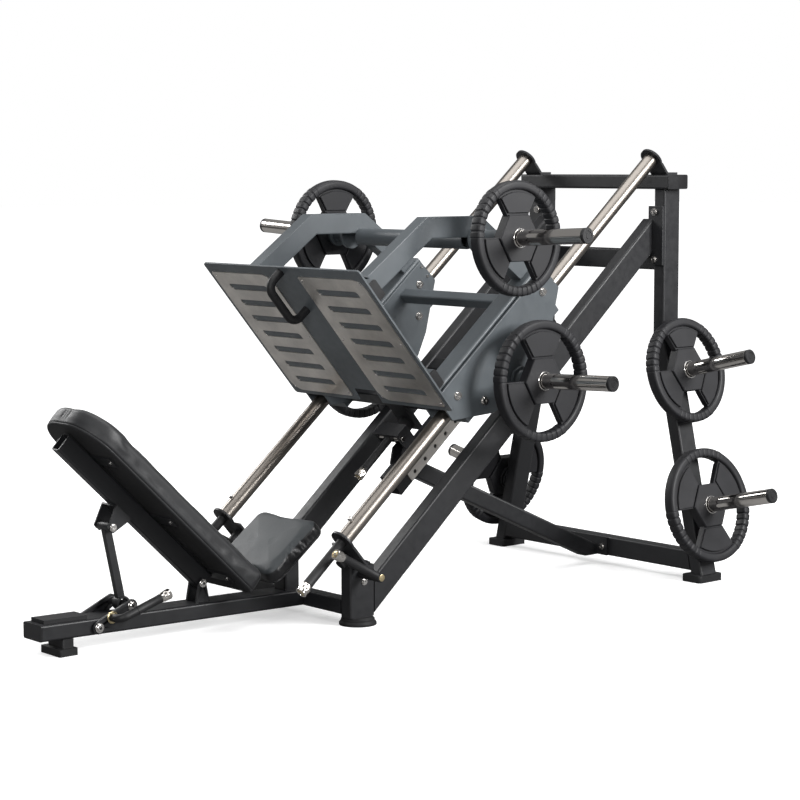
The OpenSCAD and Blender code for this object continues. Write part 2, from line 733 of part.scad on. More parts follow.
module weight_middle_right() black_rubber() placed_weight(peg_mid, large_plate_d, 90);
module weight_middle_left() black_rubber() mirror([0, 1, 0]) placed_weight(peg_mid, large_plate_d, 90);
module weight_store_upper_right() black_rubber() placed_weight(peg_store_upper, small_plate_d, 90);
module weight_store_upper_left() black_rubber()
    mirror([0, 1, 0]) placed_weight(peg_store_upper, small_plate_d, 90);
module weight_store_lower_right() black_rubber() placed_weight(peg_store_lower, large_plate_d, 30);
module weight_store_lower_left() black_rubber()
    mirror([0, 1, 0]) placed_weight(peg_store_lower, large_plate_d, 30);

bench_beam();
bench_foot();
hinge_ears();
pivot_pins();
front_cross_tube();
front_posts();
front_feet();
main_beams();
beam_flanges();
rear_uprights();
top_cross_tube();
frame_end_caps();
upper_cross_tube();
base_cross_tube();
rear_feet();
diagonal_brace();
stop_rail();
rail_cross_tube();
rail_strip();
guide_rods();
rod_brackets_top();
rod_brackets_bottom();
storage_pegs();
seat_support();
seat_pad();
frame_bolts();
grab_handles();
rubber_stops();
stop_housing();
foot_panel();
tread_plates();
panel_handle();
panel_tubes();
panel_tube_caps();
side_plates();
bearing_tubes();
carriage_arches();
carriage_cross_tubes();
rest_crossbar();
bearing_blocks();
bearing_bushes();
carriage_pegs();
carriage_bolts();
backrest_pad();
backrest_frame();
backrest_fasteners();
recline_strut();
toggle_link();
toggle_handle();
release_lever_left();
release_lever_right();
catch_lever();
weight_top_left();
weight_top_right();
weight_middle_left();
weight_middle_right();
weight_store_upper_left();
weight_store_upper_right();
weight_store_lower_left();
weight_store_lower_right();
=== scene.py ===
import json
import math

import bmesh
import bpy
from mathutils import Matrix, Vector


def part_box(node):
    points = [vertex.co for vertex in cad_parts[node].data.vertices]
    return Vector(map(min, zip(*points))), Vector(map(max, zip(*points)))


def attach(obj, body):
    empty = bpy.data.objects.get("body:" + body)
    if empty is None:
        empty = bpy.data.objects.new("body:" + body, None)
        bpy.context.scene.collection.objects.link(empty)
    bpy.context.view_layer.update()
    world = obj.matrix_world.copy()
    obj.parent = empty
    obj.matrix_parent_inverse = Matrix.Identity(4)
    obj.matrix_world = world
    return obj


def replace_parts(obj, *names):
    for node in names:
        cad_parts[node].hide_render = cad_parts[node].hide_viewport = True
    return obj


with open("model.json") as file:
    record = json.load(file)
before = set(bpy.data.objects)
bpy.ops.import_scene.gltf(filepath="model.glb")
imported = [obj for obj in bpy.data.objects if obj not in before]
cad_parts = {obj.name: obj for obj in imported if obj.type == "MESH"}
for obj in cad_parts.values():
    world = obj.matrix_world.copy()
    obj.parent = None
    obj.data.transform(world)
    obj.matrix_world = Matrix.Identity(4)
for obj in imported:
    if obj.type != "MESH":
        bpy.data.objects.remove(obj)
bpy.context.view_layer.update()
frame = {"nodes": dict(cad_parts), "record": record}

NODES = frame["nodes"]
MM = 0.001
SIDES = {"right": -1, "left": 1}

# Places that the design fixes, in millimetres from the front of the bench.
TRACK_ANGLE = math.radians(40.4)
TRACK_FOOT = (928, 286)
ROD_Y = 312
SPLAY = 12.9
LARGE_D, SMALL_D, PLATE_T = 400, 370, 44
BACK_ANGLE = math.radians(43.4)
SEAT_ANGLE = math.radians(38)
BENCH_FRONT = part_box("frame_end_caps")[0].x + 6 * MM


def at(x, y, z):
    """A point given in millimetres from the bench's front end, in the frame's metres."""
    return Vector((BENCH_FRONT + x * MM, y * MM, z * MM))


def basis(origin, x_axis, z_axis):
    """Matrix of a local frame whose z and x run along the two directions."""
    z = Vector(z_axis).normalized()
    x = Vector(x_axis)
    x = (x - z * x.dot(z)).normalized()
    m = Matrix((x, z.cross(x), z)).transposed().to_4x4()
    m.translation = origin
    return m


ALONG = Vector((math.cos(TRACK_ANGLE), 0, math.sin(TRACK_ANGLE)))
SQUARE = Vector((-math.sin(TRACK_ANGLE), 0, math.cos(TRACK_ANGLE)))


def on_track(s, y, n):
    """A point s along the guide rods and n square to them, in millimetres."""
    return at(TRACK_FOOT[0], y, TRACK_FOOT[1]) + (ALONG * s + SQUARE * n) * MM


# ---------------------------------------------------------------- materials
def nodes_of(name):
    mat = bpy.data.materials.new(name)
    mat.use_nodes = True
    tree = mat.node_tree
    shader = next(n for n in tree.nodes if n.type == "BSDF_PRINCIPLED")
    coords = tree.nodes.new("ShaderNodeTexCoord").outputs["Object"]
    return mat, tree, shader, coords


def add_noise(tree, coords, scale, detail=3, rough=0.55, stretch=None):
    if stretch:
        mapping = tree.nodes.new("ShaderNodeMapping")
        mapping.inputs["Scale"].default_value = stretch
        mapping.inputs["Rotation"].default_value = (0, TRACK_ANGLE, 0)
        tree.links.new(coords, mapping.inputs["Vector"])
        coords = mapping.outputs["Vector"]
    tex = tree.nodes.new("ShaderNodeTexNoise")
    tex.inputs["Scale"].default_value = scale
    tex.inputs["Detail"].default_value = detail
    tex.inputs["Roughness"].default_value = rough
    tree.links.new(coords, tex.inputs["Vector"])
    return tex.outputs["Fac"]


def remap(tree, value, low, high, start=0.3, stop=0.7):
    node = tree.nodes.new("ShaderNodeMapRange")
    for key, number in (("From Min", start), ("From Max", stop), ("To Min", low), ("To Max", high)):
        node.inputs[key].default_value = number
    tree.links.new(value, node.inputs["Value"])
    return node.outputs["Result"]


def tint(tree, factor, dark, light):
    mix = tree.nodes.new("ShaderNodeMix")
    mix.data_type = "RGBA"
    mix.inputs["A"].default_value = (*dark, 1)
    mix.inputs["B"].default_value = (*light, 1)
    tree.links.new(factor, mix.inputs["Factor"])
    return mix.outputs["Result"]


def bump(tree, shader, height, distance, strength=1.0):
    node = tree.nodes.new("ShaderNodeBump")
    node.inputs["Distance"].default_value = distance
    node.inputs["Strength"].default_value = strength
    tree.links.new(height, node.inputs["Height"])
    tree.links.new(node.outputs["Normal"], shader.inputs["Normal"])
    return node


def scaled(colour, k):
    return tuple(c * k for c in colour)


def coated_metal(name, colour, rough, grain=750, depth=0.00012):
    """Powder coat: orange peel, a slow drift of tone, dust that dulls the gloss in places."""
    mat, tree, shader, coords = nodes_of(name)
    drift = add_noise(tree, coords, 5, 4)
    tone = remap(tree, drift, 0, 1)
    tree.links.new(tint(tree, tone, scaled(colour, 0.86), scaled(colour, 1.14)),
                   shader.inputs["Base Color"])
    smudge = add_noise(tree, coords, 38, 5, 0.65)
    tree.links.new(remap(tree, smudge, rough - 0.07, rough + 0.08), shader.inputs["Roughness"])
    shader.inputs["Specular IOR Level"].default_value = 0.5
    bump(tree, shader, add_noise(tree, coords, grain, 2), depth, 0.55)
    return mat


def bright_metal(name, colour, rough, spread=0.04, marks=300):
    """Polished or plated steel with faint handling marks."""
    mat, tree, shader, coords = nodes_of(name)
    shader.inputs["Metallic"].default_value = 1.0
    drift = add_noise(tree, coords, 9, 4)
    tree.links.new(tint(tree, remap(tree, drift, 0, 1), scaled(colour, 0.93), colour),
                   shader.inputs["Base Color"])
    wipe = add_noise(tree, coords, marks, 3)
    tree.links.new(remap(tree, wipe, rough, rough + spread), shader.inputs["Roughness"])
    return mat


def brushed_sheet(name, colour):
    """Stainless sheet: fine grain along the sheet and cloudy wear."""
    mat, tree, shader, coords = nodes_of(name)
    shader.inputs["Metallic"].default_value = 1.0
    cloud = add_noise(tree, coords, 7, 5, 0.6)
    grain = add_noise(tree, coords, 60, 4, 0.7, (1, 14, 40))
    tree.links.new(tint(tree, remap(tree, cloud, 0, 1, 0.38, 0.66), scaled(colour, 0.72), colour),
                   shader.inputs["Base Color"])
    tree.links.new(remap(tree, cloud, 0.30, 0.46), shader.inputs["Roughness"])
    bump(tree, shader, grain, 0.00008, 0.5)
    return mat


def moulded(name, colour, rough, grain, depth):
    """Rubber or plastic with a fine moulded grain."""
    mat, tree, shader, coords = nodes_of(name)
    drift = add_noise(tree, coords, 14, 4)
    tree.links.new(tint(tree, remap(tree, drift, 0, 1), scaled(colour, 0.8), scaled(colour, 1.25)),
                   shader.inputs["Base Color"])
    tree.links.new(remap(tree, drift, rough - 0.06, rough + 0.06), shader.inputs["Roughness"])
    shader.inputs["Specular IOR Level"].default_value = 0.42
    bump(tree, shader, add_noise(tree, coords, grain, 3, 0.6), depth, 0.6)
    return mat


def upholstery(name, colour, rough):
    """Vinyl with a pebbled grain and a slow drift of tone and gloss."""
    mat, tree, shader, coords = nodes_of(name)
    drift = add_noise(tree, coords, 8, 4)
    tree.links.new(tint(tree, remap(tree, drift, 0, 1), scaled(colour, 0.85), scaled(colour, 1.15)),
                   shader.inputs["Base Color"])
    tree.links.new(remap(tree, drift, rough - 0.05, rough + 0.06), shader.inputs["Roughness"])
    shader.inputs["Sheen Weight"].default_value = 0.12
    shader.inputs["Sheen Roughness"].default_value = 0.4
    pebble = tree.nodes.new("ShaderNodeTexVoronoi")
    pebble.feature = "SMOOTH_F1"
    pebble.inputs["Scale"].default_value = 620
    tree.links.new(coords, pebble.inputs["Vector"])
    first = bump(tree, shader, pebble.outputs["Distance"], 0.00022, 0.7)
    second = tree.nodes.new("ShaderNodeBump")
    second.inputs["Distance"].default_value = 0.0012
    second.inputs["Strength"].default_value = 0.35
    tree.links.new(add_noise(tree, coords, 26, 3), second.inputs["Height"])
    tree.links.new(second.outputs["Normal"], first.inputs["Normal"])
    return mat


BLACK = coated_metal("black_powder_coat", (0.0115, 0.0118, 0.0135), 0.44)
GREY = coated_metal("grey_powder_coat", (0.086, 0.098, 0.107), 0.40)
CHROME = bright_metal("bright_chrome", (0.80, 0.765, 0.725), 0.08)
ROD_CHROME = bright_metal("ground_chrome", (0.25, 0.228, 0.206), 0.30, 0.08)
STEEL = bright_metal("zinc_plated_steel", (0.74, 0.72, 0.70), 0.18, 0.1)
GOLD = bright_metal("yellow_passivated_steel", (0.72, 0.60, 0.36), 0.25, 0.1)
TREAD = brushed_sheet("brushed_stainless", (0.86, 0.82, 0.77))
RUBBER = moulded("black_rubber", (0.010, 0.010, 0.011), 0.55, 900, 0.00012)
PLATE_RUBBER = moulded("plate_rubber", (0.0095, 0.0095, 0.0115), 0.54, 420, 0.0003)
PLASTIC = moulded("black_plastic", (0.009, 0.009, 0.010), 0.38, 1200, 0.00006)
# The seat's top is the same black vinyl as its side, given a lighter grey-blue: painted light on the
# lit top face.
SEAT_TOP_PAINTED_LIGHT = upholstery("seat_top_vinyl_painted_light", (0.034, 0.040, 0.044), 0.54)
SEAT_SIDE = upholstery("seat_side_vinyl", (0.0085, 0.0085, 0.0095), 0.34)
BACK_VINYL = upholstery("back_vinyl", (0.0095, 0.0100, 0.0115), 0.50)
LINING = moulded("pad_underside", (0.012, 0.012, 0.013), 0.75, 500, 0.0002)
THREAD = moulded("thread", (0.03, 0.03, 0.032), 0.7, 3000, 0.00005)

BY_SLOT = {
    "black_paint": BLACK, "grey_paint": GREY, "chrome": CHROME, "brushed": TREAD,
    "fastener_steel": STEEL, "feet_rubber": RUBBER, "grip_rubber": RUBBER,
    "cap_plastic": PLASTIC, "back_leather": BACK_VINYL, "seat_leather": SEAT_TOP_PAINTED_LIGHT,
    "plate_rubber": PLATE_RUBBER,
}


# ---------------------------------------------------------------- mesh helpers
def piece(name, bm, material, body, sharp=35):
    """A finished mesh piece that rides on a body. material may be a list used by face index."""
    bmesh.ops.remove_doubles(bm, verts=bm.verts, dist=1e-6)
    bmesh.ops.recalc_face_normals(bm, faces=bm.faces)
    mesh = bpy.data.meshes.new(name)
    bm.to_mesh(mesh)
    bm.free()
    mesh.shade_smooth()
    mesh.set_sharp_from_angle(angle=math.radians(sharp))
    obj = bpy.data.objects.new(name, mesh)
    bpy.context.scene.collection.objects.link(obj)
    for mat in material if isinstance(material, list) else [material]:
        mesh.materials.append(mat)
    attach(obj, body)
    return obj


def skin(bm, loops, matrix, closed_ends=True, material=0):
    """Quads between loops of local points, in millimetres, with both ends filled."""
    rows = [[bm.verts.new(matrix @ (Vector(p) * MM)) for p in loop] for loop in loops]
    count = len(rows[0])
    for low, high in zip(rows, rows[1:]):
        for i in range(count):
            j = (i + 1) % count
            bm.faces.new((low[i], low[j], high[j], high[i])).material_index = material
    if closed_ends:
        bm.faces.new(rows[0][::-1]).material_index = material
        bm.faces.new(rows[-1]).material_index = material
    return rows


def lathe(bm, profile, matrix, segments=64, ring=False, material=0, wobble=None):
    """Turned shape from (radius, height) points. A ring closes its last point on its first."""
    angles = [2 * math.pi * i / segments for i in range(segments)]
    loops = []
    for r, z in profile + (profile[:1] if ring else []):
        loops.append([(radius * math.cos(a), radius * math.sin(a), z)
                      for a in angles for radius in [r + (wobble(a, r, z) if wobble else 0)]])
    return skin(bm, loops, matrix, not ring, material)


def offset(outline, d):
    """The closed outline moved in by d at each corner."""
    count = len(outline)
    moved = []
    for i, p in enumerate(outline):
        a, b = Vector(outline[i - 1]), Vector(outline[(i + 1) % count])
        p = Vector(p)
        n0 = Vector((a.y - p.y, p.x - a.x)).normalized()
        n1 = Vector((p.y - b.y, b.x - p.x)).normalized()
        mid = (n0 + n1).normalized()
        moved.append(p + mid * d / max(0.35, mid.dot(n0)))
    return moved


def prism(bm, outline, z0, z1, chamfer, matrix, material=0):
    """Plate of an outline that runs anticlockwise, with both rims chamfered."""
    inner = offset(outline, chamfer)
    loops = []
    for points, z in ((inner, z0), (outline, z0 + chamfer), (outline, z1 - chamfer), (inner, z1)):
        loops.append([(p[0], p[1], z) for p in points])
    skin(bm, loops, matrix, True, material)


def polar(r, degrees):
    return r * math.cos(math.radians(degrees)), r * math.sin(math.radians(degrees))


def arc(r, start, stop, steps):
    return [polar(r, start + (stop - start) * i / steps) for i in range(steps + 1)]


def socket_bolt(bm, matrix, r):
    """Washer, round head and a thin black hexagon on its middle (material 1): painted shade standing
    for the socket.
    """
    head = 0.7 * r
    lathe(bm, [(0.01, 0), (r - 0.6, 0), (r, 0.5), (r, 2.4), (r - 0.6, 3), (head, 3), (head, 6),
               (0.84 * head, 7.6), (0.01, 7.6)], matrix, 40)
    # Black hexagon standing for the socket's hollow: painted shade.
    lathe(bm, [(0.01, 7.4), (0.46 * head, 7.4), (0.46 * head, 8), (0.01, 8)],
          matrix, 6, material=1)


# ---------------------------------------------------------------- weight plates
RIM_STEPS = 720


def weight_plate(name, sleeve_matrix, seat, diameter, turn):
    """Rubber-coated plate: ribbed hand grips on the rim, three pads, hexagonal hub, steel ring."""
    m = sleeve_matrix @ Matrix.Translation((0, 0, (seat + PLATE_T / 2) * MM))
    r = diameter / 2
    rim = r - 33
    half = PLATE_T / 2
    windows = [180 + turn + 120 * k for k in range(3)]
    grip_half, ribs = 29, 8
    bm = bmesh.new()

    def groove(angle):
        """Depth of the grooves between the grip's segments, and how proud the grip is."""
        for w in windows:
            off = (angle - w + 180) % 360 - 180
            if abs(off) < grip_half:
                place = (off + grip_half) / (2 * grip_half) * ribs
                near = abs(place - round(place)) * 2 * grip_half / ribs
                return 2.6 * math.exp(-(near / 0.75) ** 2), 1.1
        return 0, 0

    middle = (r + rim) / 2
    wide = (r - rim) / 2 - 1.2
    deep = half - 1.2
    # The rim's section is a rectangle with well rounded corners.
    steps, power = 26, 0.46
    loops, section = [], []
    for i in range(steps):
        a = 2 * math.pi * i / steps
        c, s = math.cos(a), math.sin(a)
        section.append((math.copysign(abs(c) ** power, c),
                        math.copysign(abs(s) ** (power * 1.2), s)))
    for i in range(RIM_STEPS + 1):
        angle = 360 * (i % RIM_STEPS) / RIM_STEPS
        cut, proud = groove(angle)
        loop = []
        for u, v in section:
            x, y = polar(middle + u * (wide + proud - cut), angle)
            loop.append((x, y, v * (deep + proud - cut)))
        loops.append(loop)
    skin(bm, loops, m, False)
    hub = 85.4
    for k in range(3):
        centre = windows[k] + 60
        half_pad = 31.5
        outer = arc(rim + 4, centre - half_pad, centre + half_pad, 26)
        inner = [polar(hub * 0.9, centre + a) for a in (33, -33)]
        prism(bm, outer + inner, -half + 12, half - 12, 1, m)
        plateau = arc(rim - 5, centre - half_pad + 1.2, centre + half_pad - 1.2, 26)
        near = 80
        side = near * math.tan(math.radians(half_pad - 2.2))
        c, s = math.cos(math.radians(centre)), math.sin(math.radians(centre))
        plateau += [(near * c - side * s, near * s + side * c),
                    (near * c + side * s, near * s - side * c)]
        for sign in (-1, 1):
            low, high = (half - 14, half - 5.5) if sign > 0 else (-half + 5.5, -half + 14)
            prism(bm, plateau, low, high, 1.6, m)
    # The hub's flats face the windows.
    hexagon = [polar(hub, 60 * i + turn + 30) for i in range(6)]
    prism(bm, hexagon, -half + 3, half - 3, 2.4, m)
    lathe(bm, [(28.4, -half - 0.2), (30.6, -half - 0.2), (31.4, -half + 0.8), (31.4, half - 0.8),
               (30.6, half + 0.2), (28.4, half + 0.2)], m, 64, True, 1)
    lathe(bm, [(25.7, -half + 3.5), (28.5, -half + 3.5), (28.5, half - 3.5), (25.7, half - 3.5)],
          m, 64, True, 0)
    obj = piece(name, bm, [PLATE_RUBBER, STEEL], name.replace("_shaped", ""), 28)
    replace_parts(obj, name.replace("_shaped", ""))
    return obj


def leg_face_y(z):
    splay = math.radians(SPLAY)
    return 307 + 25 / math.cos(splay) + (857 - z) * math.tan(splay)


# Each sleeve: x, height and distance out of its foot, tilt, plate seat, length, then its plate's
# diameter and turn, and the body that carries it.
PEGS = {
    "top": (1490, 1206.5, 318, 2.8, 158, 498, SMALL_D, 90, "carriage"),
    "middle": (1644, 744, 360, 2.4, 74, 423, LARGE_D, 90, "carriage"),
    "store_upper": (2400, 722, leg_face_y(722), SPLAY, 24, 345, SMALL_D, 90, "frame"),
    "store_lower": (2400, 257, leg_face_y(257), SPLAY, 24, 345, LARGE_D, 30, "frame"),
}
# The upper left plate is kept closer in than the upper right one.
LEFT_SEATS = {"top": 82}


def peg_matrix(peg, sign):
    x, z, y, tilt = peg[:4]
    t = math.radians(tilt)
    return basis(at(x, sign * y, z), (-sign, 0, 0), (0, sign * math.cos(t), math.sin(t)))


def sleeve(bm, bm_paint, peg, seat, m):
    """Chrome sleeve with its painted flange and collar, and a black plug in its end.

    The seat is the height at which the plate rests against the collar.
    """
    length = peg[5]
    carried = peg[8] == "carriage"
    flange_r, flange_t = (46, 12) if carried else (40, 6)
    plug = length - 12.4
    lathe(bm, [(24.9, flange_t), (25, seat), (25, plug - 0.6), (24.2, plug), (0.01, plug)], m, 96)
    lathe(bm, [(0.01, plug), (24.4, plug), (25.2, plug + 0.8), (25.2, length - 2.4),
               (23, length - 0.2), (15.5, length - 0.2), (14.5, length - 1.6),
               (9.5, length - 1.6), (8.5, length - 0.6), (0.01, length - 0.6)],
          m, 64, material=1)
    lathe(bm_paint, [(0.01, 0), (flange_r - 1.2, 0), (flange_r, 1.2), (flange_r, flange_t - 1.2),
                     (flange_r - 1.2, flange_t), (34, flange_t), (31, flange_t + 3),
                     (30, flange_t + 6), (30, seat - 12), (41, seat - 12), (42, seat - 11),
                     (42, seat - 1.5), (41, seat - 0.5), (0.01, seat - 0.5)], m, 72)


def make_pegs_and_plates():
    for body, node in (("carriage", "carriage_pegs"), ("frame", "storage_pegs")):
        bright, paint = bmesh.new(), bmesh.new()
        for key, peg in PEGS.items():
            if peg[8] != body:
                continue
            for word, sign in SIDES.items():
                m = peg_matrix(peg, sign)
                seat = LEFT_SEATS.get(key, peg[4]) if word == "left" else peg[4]
                sleeve(bright, paint, peg, seat, m)
                weight_plate(f"weight_{key}_{word}_shaped", m, seat, peg[6], peg[7])
        sleeves = piece(node + "_sleeves", bright, [CHROME, PLASTIC], body, 30)
        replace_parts(sleeves, node)
        piece(node + "_flanges", paint, GREY if body == "carriage" else BLACK, body,
              30)


# ---------------------------------------------------------------- grips and levers
def grip(bm, m, length, r, cap_r, cap_l=34):
    """Rubber grip with shallow end rings, and a flared chrome cap with a socket bolt in its mouth."""
    lathe(bm, [(0.01, 0), (r - 1, 0), (r + 0.6, 1.5), (r + 0.6, 5), (r, 6.5), (r, length - 7),
               (r + 0.7, length - 5.5), (r + 0.7, length - 1.5), (r - 1, length), (0.01, length)],
          m, 48)

    face = length + cap_l
    waist, mouth = r + 0.8, cap_r
    band = (length + 8, face - 11)

    def knurl(a, _, z):
        return 0.3 * math.cos(40 * a) if band[0] < z < band[1] else 0

    def flare(z):
        return waist + (mouth - waist) * ((z - length) / cap_l) ** 0.8

    steps = [(0.01, length), (waist - 1, length), (waist, length + 1)]
    steps += [(flare(z), z) for z in (length + 4, band[0], band[0] + 1, (band[0] + band[1]) / 2,
                                      band[1] - 1, band[1], face - 6)]
    steps += [(mouth, face - 2), (mouth - 1.4, face), (0.74 * mouth, face),
              (0.70 * mouth, face - 2.5), (0.01, face - 2.5)]
    lathe(bm, steps, m, 160, material=1, wobble=knurl)
    lathe(bm, [(0.01, face - 2.5), (0.66 * mouth, face - 2.5), (0.66 * mouth, face - 1.2),
               (0.60 * mouth, face - 0.6), (0.01, face - 0.6)], m, 48, material=2)
    lathe(bm, [(0.01, face - 0.6), (0.36 * mouth, face - 0.6), (0.36 * mouth, face + 1.2),
               (0.30 * mouth, face + 1.8), (0.17 * mouth, face + 1.8), (0.16 * mouth, face - 0.4),
               (0.01, face - 0.4)], m, 6, material=1)


GRIP_MATERIALS = [RUBBER, CHROME, GOLD]


def make_grab_handles():
    bm = bmesh.new()
    for sign in SIDES.values():
        m = basis(on_track(-8, sign * ROD_Y, 0), (0, 1, 0), -ALONG)
        grip(bm, m, 182, 16, 19)
    handles = piece("grab_handle_grips", bm, GRIP_MATERIALS, "frame", 30)
    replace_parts(handles, "grab_handles")


def make_release_levers():
    lever_x, lever_y, lever_z, lever_angle = 1020, 372, 166, math.radians(61.6)
    beam_y = 287
    for word, sign in SIDES.items():
        bm = bmesh.new()
        out = basis(at(lever_x, sign * (beam_y + 0.3), lever_z), (1, 0, 0), (0, sign, 0))
        length = lever_y - beam_y + 14.7
        lathe(bm, [(0.01, 0), (14, 0), (15, 1), (15, length - 1), (14, length), (0.01, length)],
              out, 48)
        lathe(bm, [(0.01, length), (11, length), (11, length + 1.4), (9, length + 2),
                   (0.01, length + 2)], out, 32, material=2)
        arm = basis(at(lever_x, sign * lever_y, lever_z), (0, 1, 0),
                    (-math.sin(lever_angle), 0, math.cos(lever_angle)))
        grip(bm, arm, 164, 14, 17.5)
        body = f"release_lever_{word}"
        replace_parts(piece(body + "_grip", bm, GRIP_MATERIALS, body, 30), body)


def make_catch_lever():
    bm = bmesh.new()
    pivot = on_track(516, 0, -104)
    across = basis(pivot - Vector((0, 67 * MM, 0)), (1, 0, 0), (0, 1, 0))
    lathe(bm, [(0.01, 0), (7, 0), (8, 1), (8, 133), (7, 134), (0.01, 134)], across, 40, material=1)
    lathe(bm, [(8.1, 47), (13, 47), (14, 48), (14, 86), (13, 87), (8.1, 87)], across, 40, True)
    grip(bm, basis(pivot, (0, 1, 0), -ALONG), 152, 13, 17)
    lever = piece("catch_lever_grip", bm, GRIP_MATERIALS, "catch", 30)
    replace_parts(lever, "catch_lever")


def make_toggle_handle():
    """It leaves the toggle's side plate, turns a quarter round and runs along the bench."""
    bm = bmesh.new()
    plate_y, out_y, grip_x, grip_z, rise = -60, -105, 236, 98, math.radians(17.6)
    turn_r, tube_r, straight = 24, 13, 60
    bend_steps, round_steps = 12, 32
    forward = Vector((math.cos(rise), 0, math.sin(rise)))
    outward = Vector((0, -1, 0))
    corner = Vector((grip_x, out_y, grip_z))
    route = [Vector((grip_x, plate_y, grip_z)), corner - outward * turn_r]
    centre = corner - outward * turn_r + forward * turn_r
    for i in range(1, bend_steps + 1):
        a = math.pi / 2 * i / bend_steps
        route.append(centre - forward * turn_r * math.cos(a) + outward * turn_r * math.sin(a))
    route.append(corner + forward * straight)
    loops = []
    for i, p in enumerate(route):
        ahead = route[min(i + 1, len(route) - 1)] - route[max(i - 1, 0)]
        frame_at = basis(at(*p), (0, 0, 1), ahead)
        loops.append([frame_at @ Vector((tube_r * math.cos(t) * MM, tube_r * math.sin(t) * MM, 0))
                      for t in [2 * math.pi * k / round_steps for k in range(round_steps)]])
    skin(bm, [[v / MM for v in loop] for loop in loops], Matrix.Identity(4))
    grip(bm, basis(at(*(corner + forward * straight)), (0, 1, 0), forward), 92, 13.2, 17)
    lathe(bm, [(0.01, 0), (18, 0), (19, 1), (19, 3), (17, 5), (0.01, 5)],
          basis(at(grip_x, plate_y, grip_z), (1, 0, 0), (0, -1, 0)), 48, material=2)
    handle = piece("toggle_handle_grip", bm, GRIP_MATERIALS, "toggle", 30)
    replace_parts(handle, "toggle_handle")


# ---------------------------------------------------------------- cushions
def rounded_loop(x0, x1, half_w, radii, inset, corner_steps=14, side_steps=(44, 22)):
    """Rounded rectangle moved in by inset: the same number of points whatever the inset."""
    points = []
    corners = [(x1, half_w, radii[1], 0), (x0, half_w, radii[0], 90), (x0, -half_w, radii[0], 180),
               (x1, -half_w, radii[1], 270)]
    for k, (x, y, r, start) in enumerate(corners):
        sx, sy = (1 if x == x1 else -1), (1 if y > 0 else -1)
        reach = max(r - inset, 0.0)
        cx, cy = x - sx * (inset + reach), y - sy * (inset + reach)
        for i in range(corner_steps + 1):
            a = math.radians(start + 90 * i / corner_steps)
            points.append(Vector((cx + reach * math.cos(a), cy + reach * math.sin(a))))
        nx, ny, nr, nstart = corners[(k + 1) % 4]
        nsx, nsy = (1 if nx == x1 else -1), (1 if ny > 0 else -1)
        nreach = max(nr - inset, 0.0)
        a = math.radians(nstart)
        end = Vector((nx - nsx * (inset + nreach) + nreach * math.cos(a),
                      ny - nsy * (inset + nreach) + nreach * math.sin(a)))
        start_point = points[-1]
        count = side_steps[0] if k % 2 == 0 else side_steps[1]
        points += [start_point.lerp(end, (i + 1) / (count + 1)) for i in range(count)]
    return points


def cushion(name, node, body, matrix, size, radii, thick, crown, edge_r, materials, seam_z):
    """Foam pad: flat board underneath, sewn side panel, rounded top edge and a crowned face.

    The profile runs from the underside's middle, out and up over the seam, to the face's middle.
    Its points are (distance in from the outline, height).
    """
    x0, x1, half_w = size
    deepest = min(half_w, (x1 - x0) / 2)
    profile = [(deepest - 2, 0.4), (60, 0.4), (30, 0.4), (9, 0.4), (4, 0.8), (1.2, 2.2), (0.0, 5)]
    profile += [(-1.0, seam_z - 4), (-1.0, seam_z - 1.6), (1.8, seam_z), (-1.2, seam_z + 1.8),
                (-1.8, seam_z + 5)]
    top_of_side = thick - edge_r
    for i in range(1, 6):
        z = seam_z + 5 + (top_of_side - seam_z - 5) * i / 5
        profile.append((-1.8 + 1.4 * (i / 5) ** 2, z))
    for i in range(1, 9):
        a = math.pi / 2 * i / 8
        profile.append((edge_r * (1 - math.cos(a)) - 0.4 * math.cos(a),
                        top_of_side + edge_r * math.sin(a)))
    last = profile[-1][0]
    rings = 16
    for i in range(1, rings + 1):
        t = i / rings
        profile.append((last + (deepest - last) * t, thick + crown * (1 - (1 - t) ** 2)))
    bm = bmesh.new()
    loops = []
    for inset, z in profile:
        loop = rounded_loop(x0, x1, half_w, radii, inset)
        loops.append([(p.x, p.y, z) for p in loop])
    rows = skin(bm, loops, matrix, False)
    bm.faces.new(rows[0][::-1])
    up = matrix.to_3x3() @ Vector((0, 0, 1))
    for face in bm.faces:
        height = (face.calc_center_median() - matrix.translation).dot(up) / MM
        if height < 3:
            face.material_index = 1
        elif height < thick - edge_r * 0.45 and len(materials) > 2:
            face.material_index = 2
    obj = piece(name, bm, materials, body, 50)
    inflate(obj, matrix, thick)
    smooth = obj.modifiers.new("smooth", "SUBSURF")
    smooth.levels = smooth.render_levels = 1
    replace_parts(obj, node)
    return obj


def inflate(obj, matrix, thick, pressure=2.2, frames=14, cap=0.005):
    """Cloth pass: the cover, held along its underside and seam, swells a little over the foam."""
    scene = bpy.context.scene
    up = matrix.to_3x3() @ Vector((0, 0, 1))
    group = obj.vertex_groups.new(name="held")
    for v in obj.data.vertices:
        height = (v.co - matrix.translation).dot(up) / MM
        weight = 1.0 if height < thick * 0.32 else 0.0
        group.add([v.index], weight, "REPLACE")
    before = [v.co.copy() for v in obj.data.vertices]
    cloth = obj.modifiers.new("cloth", "CLOTH")
    s = cloth.settings
    s.quality = 5
    s.mass = 0.4
    s.tension_stiffness = s.compression_stiffness = 18
    s.shear_stiffness = 8
    s.bending_stiffness = 3
    s.shrink_min = -0.012
    s.use_pressure = True
    s.uniform_pressure_force = pressure
    s.vertex_group_mass = "held"
    s.effector_weights.gravity = 0
    cloth.point_cache.frame_start, cloth.point_cache.frame_end = 1, frames
    for f in range(1, frames + 1):
        scene.frame_set(f)
    settled = obj.evaluated_get(bpy.context.evaluated_depsgraph_get()).to_mesh()
    moved = [v.co.copy() for v in settled.vertices]
    obj.modifiers.remove(cloth)
    for v, a, b in zip(obj.data.vertices, before, moved):
        step = b - a
        if step.length > cap:
            step *= cap / step.length
        v.co = a + step
    obj.vertex_groups.remove(group)
    scene.frame_set(1)


